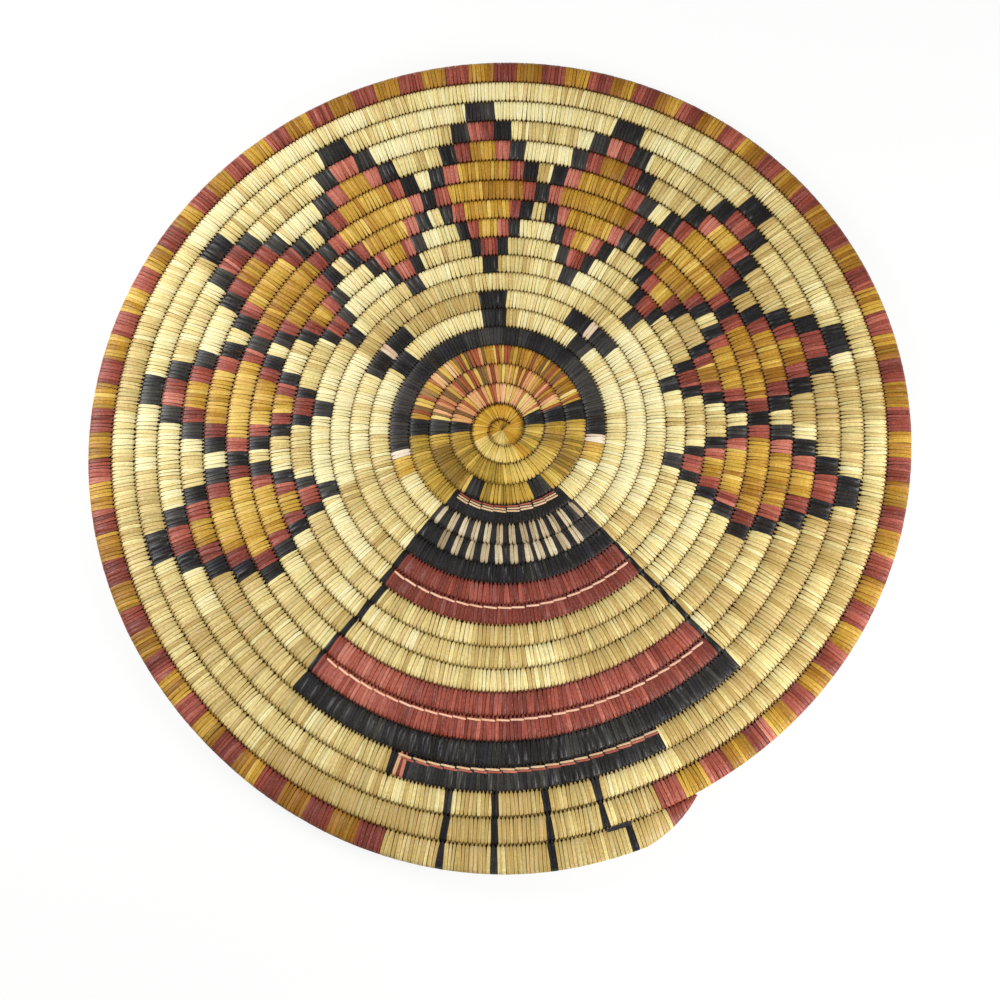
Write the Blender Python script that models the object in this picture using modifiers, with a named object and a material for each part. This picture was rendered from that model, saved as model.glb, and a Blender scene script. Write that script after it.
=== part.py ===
"""Coiled plaque: one grass bundle wound in a spiral and sheathed in wrapped, dyed leaf splints.

Units are metres, +Z is up. The plaque lies on its underside, with the middle of its outline
over the origin. The coil runs outward and anticlockwise round its eye. A place along it is a
number of turns, counted from the line due left of the eye, so row 4 lies between turn 4 and
turn 5 on that line.
"""

import math

import bpy
import bmesh
from mathutils import Vector

# The spiral: how wide a row is at places from the first twist to the rim
EYE_RADIUS = 0.0006
START_TURN = -1.4
RIM_TURN = 19
ROW_WIDTHS = (
    (START_TURN, 0.0030), (1.2, 0.01065), (3, 0.01014), (5, 0.00997), (8, 0.00968),
    (11, 0.01051), (14, 0.01150), (17, 0.01130), (RIM_TURN, 0.01148),
)
LOOP_POINTS = 24

# The outline is a little wider than long, and swells out below the figure
OVAL_REACH = 0.0012
OVAL_RADIUS = 0.2
SWELL_REACH = 0.00525
SWELL_FROM_RADIUS = 0.077
SWELL_BEARING = 259.0
SWELL_SPREAD = 27.7

# Its last rows stand out further where the coil ends
BULGE_REACH = 0.0022
BULGE_FROM_RADIUS = 0.19
BULGE_FULL_RADIUS = 0.206
BULGE_BEARING = 280.0
BULGE_SPREAD_BEFORE = 18.0
BULGE_SPREAD_AFTER = 40.0

# The coil: the wrapped wall, and the clearances that keep the pieces apart
SPLINT_WALL = 0.0012
ROW_GAP = 0.0005
BORE_GAP = 0.0003
END_GAP = 0.0003
WELD_GAP = 0.00001

# The shallow saucer: level out to one radius, then rising to the rim
LEVEL_RADIUS = 0.068
SAUCER_RISE = 0.0015

# The coil's end: its width at bearings on row 18, as shares of the full row
END_TAPER = ((288.5, 1.0), (290.5, 0.88), (292.4, 0.72), (294.5, 0.52), (296, 0.36), (297.5, 0.18))

# Thin strips laid on the slope of the outer of two rows
STRIP_WIDTH = 0.0013
STRIP_GAP = 0.0003
STRIP_ASIDE = 0.0013
PAIR_ASIDE = 0.00045

# Where fields and strips begin and end, in degrees anticlockwise from due right of the eye
FIGURE_LEFT = 232.0
FIGURE_RIGHT = 313.4
NECK_LEFT = 234.0
NECK_RIGHT = 312.5
NECK_STRIP_LEFT = 237.4
NECK_STRIP_RIGHT = 308.2
SIDE_LINE = 1.7
RING_RIGHT = -4.5
RING_LEFT = 192.4
HEM_LEFT = 251.9
HEM_RIGHT = 296.1
RIM_START = 291.9
TICKS_END = 254.5
TIP_START = 292.4

# Dyed and natural splints: base colour and roughness
NATURAL = ("natural_splint", (0.66, 0.49, 0.24), 0.55)
OCHRE = ("ochre_splint", (0.50, 0.27, 0.07), 0.55)
RED = ("red_splint", (0.33, 0.06, 0.05), 0.60)
BLACK = ("black_splint", (0.03, 0.03, 0.035), 0.60)
CREAM = ("cream_splint", (0.80, 0.68, 0.42), 0.55)
GRASS = ("grass_bundle", (0.40, 0.28, 0.12), 0.85)

# The figure's part of each row: name and splints
FIGURE_ROWS = {
    5: ("cape_check_row_05", CREAM),
    6: ("cape_black_row_06", BLACK),
    7: ("cape_red_row_07", RED),
    8: ("cape_red_row_08", RED),
    9: ("robe_natural_row_09", NATURAL),
    10: ("robe_natural_row_10", NATURAL),
    11: ("robe_natural_row_11", NATURAL),
    12: ("robe_red_row_12", RED),
    13: ("robe_red_row_13", RED),
    14: ("robe_black_row_14", BLACK),
}

# A hexagonal tube's half height and the lean of its sides, for one unit of corner radius
FLAT_SHARE = math.cos(math.pi / 6)
SLOPE_SHARE = math.sin(math.pi / 6)


def turn_at(row, degrees):
    """Place along the coil where the given row crosses the given bearing."""
    return row + (degrees - 180) / 360


def edge_radius(turn):
    """Distance from the centre to the coil's inner edge."""
    radius = EYE_RADIUS + max(0, turn - RIM_TURN) * ROW_WIDTHS[-1][1]
    for (near_turn, near_width), (far_turn, far_width) in zip(ROW_WIDTHS, ROW_WIDTHS[1:]):
        stretch = min(max(turn - near_turn, 0), far_turn - near_turn)
        widening = (far_width - near_width) / (far_turn - near_turn)
        radius += stretch * near_width + widening * stretch ** 2 / 2
    bearing = (turn * 360 + 180) % 360
    oval = math.cos(math.radians(2 * bearing)) * (radius / OVAL_RADIUS) ** 2
    swell = math.exp(-((bearing - SWELL_BEARING) / SWELL_SPREAD) ** 2)
    swell *= max(0, radius - SWELL_FROM_RADIUS) / (OVAL_RADIUS - SWELL_FROM_RADIUS)
    past = (bearing - BULGE_BEARING + 180) % 360 - 180
    bulge = math.exp(-(past / (BULGE_SPREAD_AFTER if past > 0 else BULGE_SPREAD_BEFORE)) ** 2)
    bulge *= max(0, radius - BULGE_FROM_RADIUS) / (BULGE_FULL_RADIUS - BULGE_FROM_RADIUS)
    return radius + OVAL_REACH * oval + SWELL_REACH * swell + BULGE_REACH * bulge


def edge_point(turn):
    """Point on the coil's inner edge, in plan."""
    bearing = math.pi + 2 * math.pi * turn
    return Vector((math.cos(bearing), math.sin(bearing), 0)) * edge_radius(turn)


def facet_point(turn, rows_out):
    """Point on the straight facets between stations, on the edge that many rows further out."""
    station = math.floor(turn * LOOP_POINTS)
    along = turn * LOOP_POINTS - station
    near = edge_point(station / LOOP_POINTS + rows_out)
    far = edge_point((station + 1) / LOOP_POINTS + rows_out)
    return near.lerp(far, along)


def saucer_height(radius):
    """Height of the underside at a radius."""
    rim_radius = edge_radius(RIM_TURN)
    return SAUCER_RISE * (max(0, radius - LEVEL_RADIUS) / (rim_radius - LEVEL_RADIUS)) ** 2


def width_share(turn):
    """Share of the row's full width that the coil keeps, as it is drawn down at its end."""
    for (near, near_share), (far, far_share) in zip(END_TAPER, END_TAPER[1:]):
        if turn < turn_at(18, far):
            along = max(0, turn - turn_at(18, near)) / (turn_at(18, far) - turn_at(18, near))
            return near_share + (far_share - near_share) * along
    return END_TAPER[-1][1]


def coil_section(turn):
    """Centre of the coil and its corner radius, held level against the row inside it."""
    inner = facet_point(turn, 0)
    across = facet_point(turn, 1) - inner
    width = across.length * width_share(turn)
    centre = inner + across.normalized() * width / 2
    radius = (width - ROW_GAP) / 2
    full_radius = (across.length - ROW_GAP) / 2
    centre.z = full_radius * FLAT_SHARE + saucer_height(centre.length)
    return centre, radius


def facet_length(turn):
    """Length of the straight facet of the coil that holds a place."""
    station = math.floor(turn * LOOP_POINTS)
    near, _ = coil_section(station / LOOP_POINTS)
    far, _ = coil_section((station + 1) / LOOP_POINTS)
    return (far - near).length


def seam_turn(turn):
    """Nearest place for a seam that keeps its two faces on one facet, clear of the corners."""
    _, radius = coil_section(turn)
    margin = (radius * math.tan(math.pi / LOOP_POINTS) + END_GAP) / facet_length(turn)
    station = math.floor(turn * LOOP_POINTS)
    along = turn * LOOP_POINTS - station
    return (station + min(max(along, margin), 1 - margin)) / LOOP_POINTS


def stations_between(first, last):
    """Places along the coil from first to last, with every station between them."""
    inside = range(math.floor(first * LOOP_POINTS) + 1, math.ceil(last * LOOP_POINTS))
    places = {station / LOOP_POINTS for station in inside}
    places |= {turn_at(18, bearing) for bearing, _ in END_TAPER}
    return [first] + sorted(place for place in places if first < place < last) + [last]


def trimmed(first, last):
    """The stretch between two seams, shortened at both ends by half the end gap."""
    first_trim = END_GAP / 2 / facet_length(first) / LOOP_POINTS
    last_trim = END_GAP / 2 / facet_length(last) / LOOP_POINTS
    return first + first_trim, last - last_trim


def fresh_collection(name):
    """A collection of that name, linked to the scene."""
    collection = bpy.data.collections.new(name)
    bpy.context.scene.collection.children.link(collection)
    return collection


def splint_material(piece_name, finish):
    """A Principled material of the piece's own."""
    finish_name, colour, roughness = finish
    material = bpy.data.materials.new(piece_name + "_" + finish_name)
    material.use_nodes = True
    shader = material.node_tree.nodes["Principled BSDF"]
    shader.inputs["Base Color"].default_value = (*colour, 1)
    shader.inputs["Roughness"].default_value = roughness
    shader.inputs["Metallic"].default_value = 0
    return material


def six_sided_tube(name, sections, finish, collection, capped):
    """A tube swept along a curve of centres and corner radii, flat above and below."""
    curve = bpy.data.curves.new(name + "_path", "CURVE")
    curve.dimensions = "3D"
    curve.twist_mode = "Z_UP"
    curve.bevel_depth = 1
    curve.bevel_resolution = 1
    curve.use_fill_caps = capped
    spline = curve.splines.new("POLY")
    spline.points.add(len(sections) - 1)
    for point, (centre, radius) in zip(spline.points, sections):
        point.co = (*centre, 1)
        point.radius = radius
    path = bpy.data.objects.new(name + "_path", curve)
    collection.objects.link(path)
    bpy.context.view_layer.update()
    depsgraph = bpy.context.evaluated_depsgraph_get()
    mesh = bpy.data.meshes.new_from_object(path.evaluated_get(depsgraph))
    mesh.name = name
    shape = bmesh.new()
    shape.from_mesh(mesh)
    if capped:
        bmesh.ops.remove_doubles(shape, verts=shape.verts, dist=WELD_GAP)
    shape.to_mesh(mesh)
    shape.free()
    tube = bpy.data.objects.new(name, mesh)
    tube.matrix_world = path.matrix_world
    collection.objects.link(tube)
    bpy.data.objects.remove(path)
    bpy.data.curves.remove(curve)
    mesh.materials.clear()
    mesh.materials.append(splint_material(name, finish))
    return tube


def sheath(name, first, last, finish, collection):
    """Splints of one field wrapped side by side: a sleeve, open at both ends, round the bundle."""
    sections = [coil_section(turn) for turn in stations_between(*trimmed(first, last))]
    sleeve = six_sided_tube(name, sections, finish, collection, capped=False)
    wall = sleeve.modifiers.new("wall", "SOLIDIFY")
    wall.thickness = SPLINT_WALL
    wall.offset = -1
    wall.use_even_offset = True
    wall.use_rim = True
    return sleeve


def foundation_bundle(first, last, collection):
    """The grass bundle that every sheath is wrapped round, one unbroken spiral."""
    sections = []
    for turn in stations_between(*trimmed(first, last)):
        centre, radius = coil_section(turn)
        sections.append((centre, radius - (SPLINT_WALL + BORE_GAP) / FLAT_SHARE))
    print("foundation_bundle, least gap to itself:", least_gap(sections))
    return six_sided_tube("foundation_bundle", sections, GRASS, collection, capped=True)


def start_coil(last, collection):
    """The wrapped start at the centre: a thin, solid twist that thickens to the full coil."""
    _, seam_end = trimmed(last, last)
    sections = [coil_section(turn) for turn in stations_between(START_TURN, seam_end)]
    print("start_coil, least gap to itself:", least_gap(sections))
    return six_sided_tube("start_coil", sections, OCHRE, collection, capped=True)


def coil_end_tip(first, last, collection):
    """The coil's end, drawn down against the row inside it and wrapped solid."""
    seam_start, _ = trimmed(first, first)
    sections = [coil_section(turn) for turn in stations_between(seam_start, last)]
    return six_sided_tube("coil_end_tip", sections, RED, collection, capped=True)


def laid_strip(name, row, side, first_degrees, last_degrees, finish, collection):
    """A thin strip on the inner slope of a row, alone (side 0) or one of a pair."""
    radius = STRIP_WIDTH / 2
    aside = STRIP_ASIDE + side * PAIR_ASIDE
    rise = (radius + STRIP_GAP + FLAT_SHARE * aside - FLAT_SHARE * ROW_GAP / 2) / SLOPE_SHARE
    sections = []
    for turn in stations_between(turn_at(row, first_degrees), turn_at(row, last_degrees)):
        outer_row, _ = coil_section(turn)
        inner_row, _ = coil_section(turn - 1)
        edge = facet_point(turn, 0)
        centre = edge + edge.normalized() * aside
        centre.z = (outer_row.z + inner_row.z) / 2 + rise
        sections.append((centre, radius))
    return six_sided_tube(name, sections, finish, collection, capped=True)


def least_gap(sections):
    """Least distance, in millimetres, between parts of a tube half a loop or more apart."""
    least = math.inf
    for index, (centre, radius) in enumerate(sections):
        for other, other_radius in sections[index + LOOP_POINTS // 2:]:
            least = min(least, (centre - other).length - radius - other_radius)
    return round(least * 1000, 3)


def sheath_fields():
    """The sheaths in order along the coil: name, where each ends, and its splints."""
    fields = [
        ("face_ochre_row_01", turn_at(1, NECK_LEFT), OCHRE),
        ("face_ochre_row_02", turn_at(2, NECK_LEFT), OCHRE),
        ("face_ochre_row_03", turn_at(3, NECK_LEFT), OCHRE),
        ("neck_black_row_03", turn_at(3, NECK_RIGHT), BLACK),
        ("face_edge_right", turn_at(4, RING_RIGHT), NATURAL),
        ("face_ring_black", turn_at(4, RING_LEFT), BLACK),
        ("face_edge_left", turn_at(4, FIGURE_LEFT), NATURAL),
        ("cape_check_row_04", turn_at(4, FIGURE_RIGHT), CREAM),
    ]
    for row, (name, finish) in FIGURE_ROWS.items():
        fields.append((f"field_row_{row:02d}", turn_at(row, FIGURE_LEFT), NATURAL))
        fields.append((name, turn_at(row, FIGURE_RIGHT), finish))
    return fields + [
        ("field_row_15", turn_at(15, HEM_LEFT), NATURAL),
        ("hem_black_row_15", turn_at(15, HEM_RIGHT), BLACK),
        ("field_row_16", turn_at(16, RIM_START), NATURAL),
        ("field_row_17", turn_at(17, RIM_START), NATURAL),
        ("rim_tick_row", turn_at(18, TICKS_END), RED),
        ("rim_natural_tail", turn_at(18, TIP_START), NATURAL),
    ]


def centre_on_origin(collection):
    """Hang every piece on an empty that brings the middle of the outline over the origin."""
    corners = [piece.matrix_world @ vertex.co for piece in collection.objects
               for vertex in piece.data.vertices]
    across = [corner.x for corner in corners]
    along = [corner.y for corner in corners]
    eye = bpy.data.objects.new("eye_of_the_spiral", None)
    eye.location = (-(min(across) + max(across)) / 2, -(min(along) + max(along)) / 2, 0)
    for piece in collection.objects:
        piece.parent = eye
    collection.objects.link(eye)
    bpy.context.view_layer.update()


def build():
    """Make every piece of the plaque."""
    for leftover in list(bpy.data.objects):
        bpy.data.objects.remove(leftover)
    plaque = fresh_collection("hopi_coiled_plaque")

    start_seam = seam_turn(turn_at(0, NECK_LEFT))
    tip_seam = seam_turn(turn_at(18, TIP_START))
    start_coil(start_seam, plaque)
    foundation_bundle(start_seam, tip_seam, plaque)
    first = start_seam
    for name, field_end, finish in sheath_fields():
        last = seam_turn(field_end)
        sheath(name, first, last, finish, plaque)
        first = last
    coil_end_tip(tip_seam, turn_at(18, END_TAPER[-1][0]), plaque)

    body_left = FIGURE_LEFT + SIDE_LINE
    body_right = FIGURE_RIGHT - SIDE_LINE
    laid_strip("neck_strip_red", 3, -1, NECK_STRIP_LEFT, NECK_STRIP_RIGHT, RED, plaque)
    laid_strip("neck_strip_cream", 3, 1, NECK_STRIP_LEFT, NECK_STRIP_RIGHT, CREAM, plaque)
    laid_strip("cape_strip_cream", 8, 0, body_left, body_right, CREAM, plaque)
    laid_strip("robe_strip_cream", 13, 0, body_left, body_right, CREAM, plaque)
    laid_strip("hem_strip_cream", 15, -1, HEM_LEFT, HEM_RIGHT, CREAM, plaque)
    laid_strip("hem_strip_red", 15, 1, HEM_LEFT, HEM_RIGHT, RED, plaque)
    centre_on_origin(plaque)


build()
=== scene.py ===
import math
import random

import bmesh
import bpy
import numpy as np
from mathutils import Matrix, Vector


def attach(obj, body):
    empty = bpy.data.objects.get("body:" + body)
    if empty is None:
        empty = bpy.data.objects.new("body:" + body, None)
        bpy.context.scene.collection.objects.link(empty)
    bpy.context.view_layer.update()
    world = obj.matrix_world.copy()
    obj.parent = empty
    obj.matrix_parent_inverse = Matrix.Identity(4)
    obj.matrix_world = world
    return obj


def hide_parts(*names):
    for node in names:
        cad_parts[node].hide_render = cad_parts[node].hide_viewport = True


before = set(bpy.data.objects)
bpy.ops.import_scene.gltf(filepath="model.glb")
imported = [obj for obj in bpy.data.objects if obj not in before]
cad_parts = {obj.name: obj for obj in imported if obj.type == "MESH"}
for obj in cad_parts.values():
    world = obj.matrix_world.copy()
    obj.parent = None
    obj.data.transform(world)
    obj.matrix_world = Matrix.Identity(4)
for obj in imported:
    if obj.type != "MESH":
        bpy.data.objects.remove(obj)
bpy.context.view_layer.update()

spiral = {
    "eye": (0.002886, 0.006253),    # where the coil starts, beside the middle of the outline
    "eyeRadius": 0.0006,
    "startTurn": -1.4,
    "rimTurn": 19,
    # how wide a row is at places along the coil
    "rowWidths": ((-1.4, 0.0030), (1.2, 0.01065), (3, 0.01014), (5, 0.00997), (8, 0.00968),
                  (11, 0.01051), (14, 0.01150), (17, 0.01130), (19, 0.01148)),
    "ovalReach": 0.0012,            # a little wider than long
    "ovalRadius": 0.2,
    "swellReach": 0.00525,          # and swelling out below the figure
    "swellFromRadius": 0.077,
    "swellBearing": 259.0,
    "swellSpread": 27.7,
    "bulgeReach": 0.0022,           # the last rows stand out further where the coil ends
    "bulgeFromRadius": 0.19,
    "bulgeFullRadius": 0.206,
    "bulgeBearing": 280.0,
    "bulgeSpreads": (18.0, 40.0),
    "rowGap": 0.0005,
    "levelRadius": 0.068,           # flat out to here, then a shallow saucer
    "saucerRise": 0.0015,
    "tipFrom": 292.4,               # the bound end of the coil, on row 18
    # the coil's width along row 18's end, as shares of the full row
    "endTaper": ((288.5, 1.0), (290.5, 0.87), (292.4, 0.70), (293.9, 0.53), (295.3, 0.34),
                 (296.3, 0.18), (297.0, 0.05)),
    "flatness": math.cos(math.pi / 6),      # the coil's height against its width
    "sideGap": 0.00004,
    "eyeGap": 0.0001,
    "usualHalfWidth": 0.0048,       # where the coil is slimmer, its splints are thinner too
    "slimmest": 0.45,
}


def turnAt(row, bearing):
    return row + (bearing - 180) / 360


firstLoopEnd = spiral["startTurn"] + 1
tipEnd = turnAt(18, spiral["endTaper"][-1][0])


def edgeRadius(turn):
    turn = np.asarray(turn, float)
    s = spiral
    radius = s["eyeRadius"] + np.maximum(0, turn - s["rimTurn"]) * s["rowWidths"][-1][1]
    for (nearTurn, nearWidth), (farTurn, farWidth) in zip(s["rowWidths"], s["rowWidths"][1:]):
        stretch = np.clip(turn - nearTurn, 0, farTurn - nearTurn)
        growth = (farWidth - nearWidth) / (farTurn - nearTurn)
        radius = radius + stretch * nearWidth + growth * stretch ** 2 / 2
    bearing = (turn * 360 + 180) % 360
    oval = np.cos(np.radians(2 * bearing)) * (radius / s["ovalRadius"]) ** 2
    swell = np.exp(-((bearing - s["swellBearing"]) / s["swellSpread"]) ** 2)
    swell = swell * np.maximum(0, radius - s["swellFromRadius"])
    swell = swell / (s["ovalRadius"] - s["swellFromRadius"])
    past = (bearing - s["bulgeBearing"] + 180) % 360 - 180
    bulge = np.exp(-(past / np.where(past > 0, s["bulgeSpreads"][1], s["bulgeSpreads"][0])) ** 2)
    bulge = bulge * np.maximum(0, radius - s["bulgeFromRadius"])
    bulge = bulge / (s["bulgeFullRadius"] - s["bulgeFromRadius"])
    return radius + s["ovalReach"] * oval + s["swellReach"] * swell + s["bulgeReach"] * bulge


def coilSection(turn):
    # radius of the coil's middle, its half width, half height and the height of its underside
    inner = edgeRadius(turn)
    fullWidth = edgeRadius(np.asarray(turn) + 1) - inner
    bearings, shares = np.transpose(spiral["endTaper"])
    width = fullWidth * np.interp(turn, turnAt(18, bearings), shares)
    middle = inner + width / 2
    halfHeight = (width - spiral["rowGap"]) / 2 * spiral["flatness"]
    rise = np.maximum(0, middle - spiral["levelRadius"])
    rise = rise / (float(edgeRadius(spiral["rimTurn"])) - spiral["levelRadius"])
    # the end is drawn down towards the middle height of the row inside it
    lift = spiral["saucerRise"] * rise ** 2 + (fullWidth - width) / 2 * spiral["flatness"]
    return middle, width / 2 - spiral["sideGap"], halfHeight, lift


def middleReach(turn):
    # in the first loop nothing lies inside the coil, so its stitches close the eye
    return coilSection(turn)[0] - spiral["eyeGap"]


def slimness(halfWidth, least=spiral["slimmest"]):
    return np.clip(halfWidth / spiral["usualHalfWidth"], least, 1)


def onCoil(turn, outward, up):
    # a place beside the coil's middle line, in the part's frame
    middle, _, halfHeight, lift = coilSection(turn)
    bearing = math.pi + 2 * math.pi * np.asarray(turn)
    radius = middle + outward
    return np.stack([spiral["eye"][0] + radius * np.cos(bearing),
                     spiral["eye"][1] + radius * np.sin(bearing),
                     lift + halfHeight + up], axis=-1)


# bearings run anticlockwise from due right of the eye; a row's chart goes from -40 to 320
chartFrom, chartTo = -40, 320

figure = {
    "left": 232.0,
    "right": 313.4,
    "neckLeft": 234.0,
    "neckRight": 312.5,
    "ringRight": -4.5,
    "ringLeft": 192.4,
    "hemLeft": 251.9,
    "hemRight": 296.1,
    # rows of the outline: how far the left side steps in, then both widths in stitches
    "outline": {7: (0, 1.6, 1), 8: (0, 1.7, 1.2), 9: (1.2, 1.8, 1.35), 10: (1, 1.6, 1.35),
                11: (0.5, 1.5, 1.3), 12: (0, 1.3, 1.35), 13: (0, 1.1, 1.4)},
    # where the dark bars beside the face end: the right one, then both ends of the left one
    "bars": {1: (27.5, 171.8, 185.5), 2: (21.8, 171.8, 185.5), 3: (20.4, 173.2, 184.6)},
    "rightBarStart": 6,
    "leftStripes": (243.2, 249.55, 255.9, 262.25, 268.6, 274.95),
    "rightStripes": (281.3, 286.3, 291.5, 297.5, 303.5),
    "stripeHalf": 1.7,
    "legs": (262.1, 269, 276.5),
    "lastLeg": (284.1, 286.9),      # above its sideways step, and below
    "legStitches": 1.8,
}
rim = {"start": 291.9, "ticksEnd": 254.5, "reds": 44, "redShare": 0.48}
diamonds = {
    "count": 9,
    "first": -11.7,
    "step": 26.4,
    "middleRow": 12,
    "reach": 4,
    "narrowing": 3.05,
    "halfWidths": (("ochre", 8.6), ("red", 11.6), ("black", 14.7)),
}
# stitches are finer near the centre: room for one, at places along the coil
stitchRoom = ((1, 0.00155), (5, 0.00166), (9, 0.00187))


def stitchPitch(turn):
    return float(np.interp(turn, *zip(*stitchRoom)))


def stitchAngle(row, bearing):
    turn = turnAt(row, bearing)
    return math.degrees(stitchPitch(turn) / float(coilSection(turn)[0]))


def lineOf(row, bearing, stitches):
    half = stitchAngle(row, bearing) * stitches / 2
    return (bearing - half, bearing + half, "black")


def capeStripes(row):
    # cream stripes that run down through both rows of the cape
    half = figure["stripeHalf"]
    centres = figure["leftStripes"] + figure["rightStripes"]
    stripes = [(centre - half, centre + half, "ash") for centre in centres]
    if row == 4:
        stripes += [(234.2, 236.8, "ash"), (309.8, 312.2, "ash")]
    return stripes


def diamondBands(row):
    bands = []
    away = abs(row - diamonds["middleRow"])
    if away > diamonds["reach"]:
        return bands
    for index in range(diamonds["count"]):
        middle = diamonds["first"] + diamonds["step"] * index
        for dye, halfWidth in reversed(diamonds["halfWidths"]):
            reach = halfWidth - diamonds["narrowing"] * away
            if away == 0 and dye == "black":
                # the black steps of neighbours join on the middle row
                reach = diamonds["step"] / 2 if 0 < index < diamonds["count"] - 1 else reach
                bands.append((middle - (reach if index else halfWidth),
                              middle + (reach if index < diamonds["count"] - 1 else halfWidth), dye))
            elif reach > 1:
                bands.append((middle - reach, middle + reach, dye))
    return bands


def rowChart(row):
    # bands of one row, later ones laid over earlier ones; what would be row 18's
    # are the legs' lines where they cross the outermost loop
    f = figure
    body = (f["left"], f["right"])
    bands = []
    if row <= 0:
        bands += [(chartFrom, chartTo, "gold"), (205, 300, "straw")]
    if row in f["bars"]:
        right, left, leftEnd = f["bars"][row]
        bands += [(chartFrom, chartTo, "olive"), (right, left, "fan"),
                  (f["rightBarStart"], right, "black"), (left, leftEnd, "black")]
    if row == 2:
        bands += [(240.3, 252.6, "black"), (293.8, 307.9, "black")]
    if row == 3:
        bands += [(f["neckLeft"], f["neckRight"], "black"), (f["neckRight"], chartTo, "natural")]
    if row == 4:
        bands += [(chartFrom, -21.7, "natural"), (-21.7, -9.9, "ochre"), (-9.9, f["ringRight"], "cream"),
                  (f["ringRight"], f["ringLeft"], "black"), (f["ringLeft"], 196.4, "cream"),
                  (196.4, 206.4, "ochre")]
    if row == 5:
        bands += [(42.2, 52.5, "black"), (139.9, 150.3, "black")]
    if row == 6:
        bands += [(35.7, 60.4, "black"), (47.1, 50.5, "cream"),
                  (132.9, 156.5, "black"), (142.7, 146.1, "cream")]
    if row in (5, 6):
        bands += [(88, 99.8, "black")]
    if row in (4, 5, 6, 14):
        bands += [(*body, "black")]
    if row in (4, 5):
        bands += capeStripes(row)
    if row in (7, 8, 12, 13):
        bands += [(*body, "red")]
    if row in f["outline"]:
        # drawn with one splint or two
        shift, leftLine, rightLine = f["outline"][row]
        half = stitchAngle(row, 270) / 2
        bands += [lineOf(row, f["left"] + shift + half * leftLine, leftLine),
                  lineOf(row, f["right"] - half * rightLine, rightLine)]
    if row == 15:
        bands += [(f["hemLeft"], f["hemRight"], "black"), (252.9, 253.5, "buff"), (253.5, 254.6, "red")]
    bands += diamondBands(row)
    if 16 <= row <= 18:
        legs = (*f["legs"], f["lastLeg"][0 if row < 18 else 1])
        bands += [lineOf(row, leg, f["legStitches"]) for leg in legs]
    return bands


def layRuns(bands, start, end):
    # cuts a stretch into runs of one dye each, the last band over a place showing
    cuts = sorted({start, end, *(edge for band in bands for edge in band[:2] if start < edge < end)})
    runs = []
    for low, high in zip(cuts, cuts[1:]):
        middle = (low + high) / 2
        dye = (["natural"] + [band[2] for band in bands if band[0] <= middle < band[1]])[-1]
        if runs and runs[-1][2] == dye:
            runs[-1] = (runs[-1][0], high, dye)
        else:
            runs.append((low, high, dye))
    return runs


def tickRuns():
    start, end = turnAt(17, rim["start"]), turnAt(18, rim["ticksEnd"])
    period = (end - start) / (rim["reds"] - 1 + rim["redShare"])
    runs = []
    for index in range(rim["reds"]):
        red = start + period * index
        runs.append((red, red + period * rim["redShare"], "rimRed"))
        if index < rim["reds"] - 1:
            runs.append((red + period * rim["redShare"], red + period, "rimOchre"))
    return runs


def coilRuns():
    # every run along the coil, in turns, from the first twist to the drawn-down end
    runs = []
    ticksStart = turnAt(17, rim["start"])
    for row in range(-1, 18):
        first = max(turnAt(row, chartFrom), spiral["startTurn"])
        last = min(turnAt(row, chartTo), ticksStart)
        low, high = (first - row) * 360 + 180, (last - row) * 360 + 180
        for start, end, dye in layRuns(rowChart(row), low, high):
            runs.append((turnAt(row, start), turnAt(row, end), dye))
    runs += tickRuns()
    tail = layRuns(rowChart(18), rim["ticksEnd"], spiral["tipFrom"])
    runs += [(turnAt(18, start), turnAt(18, end), dye) for start, end, dye in tail]
    runs.append((turnAt(18, spiral["tipFrom"]), tipEnd, "rimRed"))
    return runs


def coilFields():
    # the sheaths in order along the coil: node, where it ends, and its slot
    f = figure
    fields = [("start_coil", 0, f["neckLeft"], "ochre")]
    fields += [(f"face_ochre_row_{row:02d}", row, f["neckLeft"], "ochre") for row in (1, 2, 3)]
    fields += [
        ("neck_black_row_03", 3, f["neckRight"], "black"),
        ("face_edge_right", 4, f["ringRight"], "natural"),
        ("face_ring_black", 4, f["ringLeft"], "black"),
        ("face_edge_left", 4, f["left"], "natural"),
        ("cape_check_row_04", 4, f["right"], "cream"),
    ]
    body = [("cape_check", "cream"), ("cape_black", "black")] + [("cape_red", "red")] * 2
    body += [("robe_natural", "natural")] * 3 + [("robe_red", "red")] * 2 + [("robe_black", "black")]
    for row, (stem, dye) in enumerate(body, 5):
        fields += [(f"field_row_{row:02d}", row, f["left"], "natural"),
                   (f"{stem}_row_{row:02d}", row, f["right"], dye)]
    fields += [
        ("field_row_15", 15, f["hemLeft"], "natural"),
        ("hem_black_row_15", 15, f["hemRight"], "black"),
        ("field_row_16", 16, rim["start"], "natural"),
        ("field_row_17", 17, rim["start"], "natural"),
        ("rim_tick_row", 18, rim["ticksEnd"], "red"),
        ("rim_natural_tail", 18, spiral["tipFrom"], "natural"),
        ("coil_end_tip", 19, spiral["tipFrom"], "red"),
    ]
    return [(name, turnAt(row, bearing), dye + "_splint") for name, row, bearing, dye in fields]


def colourOf(red, green, blue):
    # an sRGB colour, 0 to 255, as the linear one that a shader takes
    linear = []
    for part in (red, green, blue):
        share = part / 255
        linear.append(share / 12.92 if share <= 0.04045 else ((share + 0.055) / 1.055) ** 2.4)
    return (*linear, 1.0)


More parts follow.
